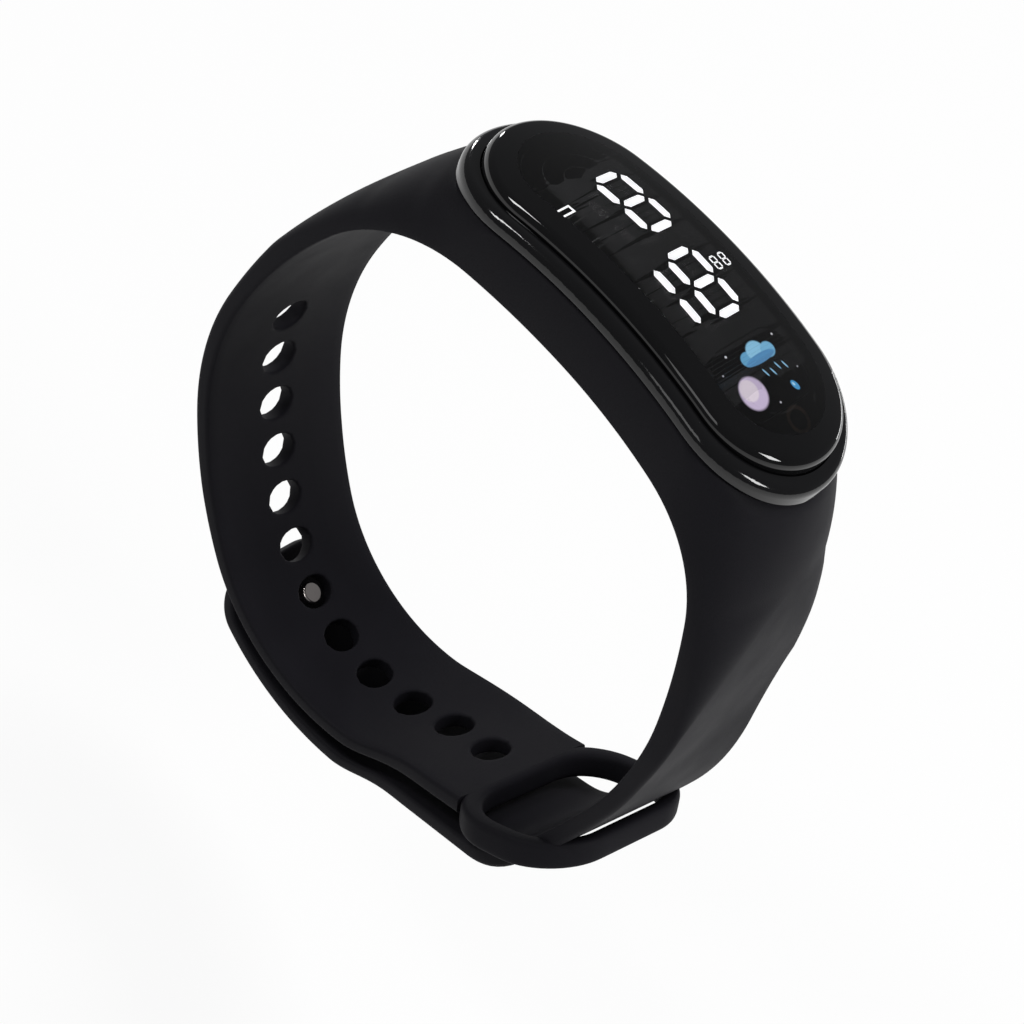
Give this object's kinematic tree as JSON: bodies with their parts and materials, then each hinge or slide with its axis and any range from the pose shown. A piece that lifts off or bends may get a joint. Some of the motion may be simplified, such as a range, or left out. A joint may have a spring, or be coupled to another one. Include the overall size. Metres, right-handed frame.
{
  "type": "digital watch",
  "caption": "Band-type digital watch: pill-shaped case with a domed touch lens over lit digits, in a silicone band closed by a stud and a keeper.",
  "frame": {"origin": "centre of the case back's proud outer face, which lies on the wrist", "axes": "+X along the case towards the band's stud side, +Y across the band, +Z out of the lens"},
  "size_m": [0.0719, 0.0236, 0.0835],
  "materials": {
    "band_silicone": "soft matte silicone",
    "case_gloss": "glossy black",
    "lens_window": "smoked, glossy",
    "case_matte": "fine matte",
    "adhesive": "foam tape",
    "mask_black": "black print",
    "lit_white": "milky, lit from behind",
    "picture_print": "dark print with a pale sun, a blue cloud and drops",
    "milky_sheet": "milky",
    "white_plastic": "white moulding",
    "board_green": "solder mask",
    "led_yellow": "clear resin",
    "blob_black": "resin",
    "plain_metal": "plain",
    "stud_metal": "satin, slightly warm",
    "capacitor_tan": "ceramic",
    "contact_rubber": "matte"
  },
  "bodies": {
    "case": {"upper_case": "case_gloss", "lens": "lens_window", "case_back": "case_matte", "lens_adhesive": "adhesive", "segment_mask": "mask_black", "digit_segments": "lit_white", "small_marks": "lit_white", "picture_panel": "picture_print", "diffuser_sheet": "milky_sheet", "reflector_block": "white_plastic", "circuit_board": "board_green", "led_chips": "led_yellow", "controller_blob": "blob_black", "clock_crystal": "plain_metal", "capacitors": "capacitor_tan", "resistors": "blob_black", "touch_contact": "contact_rubber", "battery": "plain_metal", "battery_contact": "plain_metal", "battery_clip": "plain_metal", "battery_tray": "case_matte", "back_gasket": "contact_rubber", "case_screws": "plain_metal"},
    "band": {"strap": "band_silicone", "strap_stud_side": "band_silicone"},
    "tail": {"strap_tail": "band_silicone", "stud": "stud_metal", "stud_backing_disc": "band_silicone"}
  },
  "joints": [
    {"name": "band_slide", "type": "slide", "parent": "case", "child": "band", "axis": [0, 0, -1], "range_m": [0, 0.014]},
    {"name": "tail_hinge", "type": "hinge", "parent": "band", "child": "tail", "pos_m": [-0.00063, 0, -0.07246], "axis": [0, -1, 0], "range_deg": [0, 50]}
  ]
}
